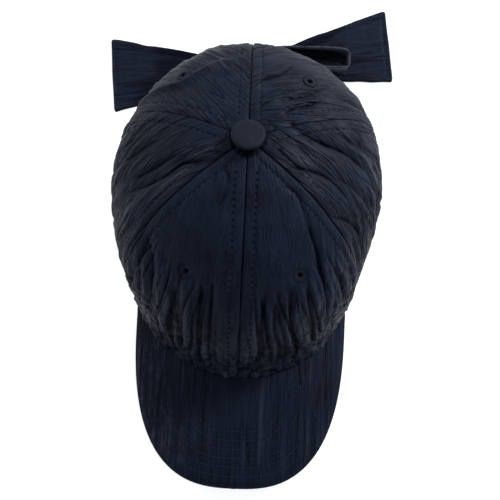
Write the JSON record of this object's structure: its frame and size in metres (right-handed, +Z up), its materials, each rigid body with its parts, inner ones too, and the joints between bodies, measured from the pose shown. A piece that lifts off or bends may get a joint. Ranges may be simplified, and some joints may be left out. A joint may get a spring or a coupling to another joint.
{
  "type": "bow-back cap",
  "caption": "Soft domed cap of crinkled cloth with a curved peak, a covered top button, stitched eyelets and an arched back opening closed by ties knotted in a half bow.",
  "frame": {"origin": "middle of the underside of the box round the whole cap, on the surface that it lies on", "axes": "+Z up, -Y the way the peak points, +X to the right seen from the front, the side that the bow's loop lies on"},
  "size_m": [0.2284, 0.3756, 0.1215],
  "materials": {
    "crown_cloth": "crinkled, soft sheen",
    "peak_cloth": "fine upright pleats, soft sheen",
    "button_cloth": "smooth woven cloth",
    "eyelet_thread": "satin stitch thread",
    "bow_cloth": "lengthwise pleats, soft sheen"
  },
  "bodies": {
    "root": {"front_left_panel": "crown_cloth", "front_right_panel": "crown_cloth", "side_right_panel": "crown_cloth", "back_right_panel": "crown_cloth", "back_left_panel": "crown_cloth", "side_left_panel": "crown_cloth", "peak": "peak_cloth", "top_button": "button_cloth", "eyelet_front_left": "eyelet_thread", "eyelet_front_right": "eyelet_thread", "eyelet_back_right": "eyelet_thread", "eyelet_back_left": "eyelet_thread", "tie_left": "bow_cloth", "tie_right": "bow_cloth", "bow_knot": "bow_cloth", "bow_loop": "bow_cloth", "tail_left": "bow_cloth", "tail_right": "bow_cloth"}
  },
  "joints": []
}
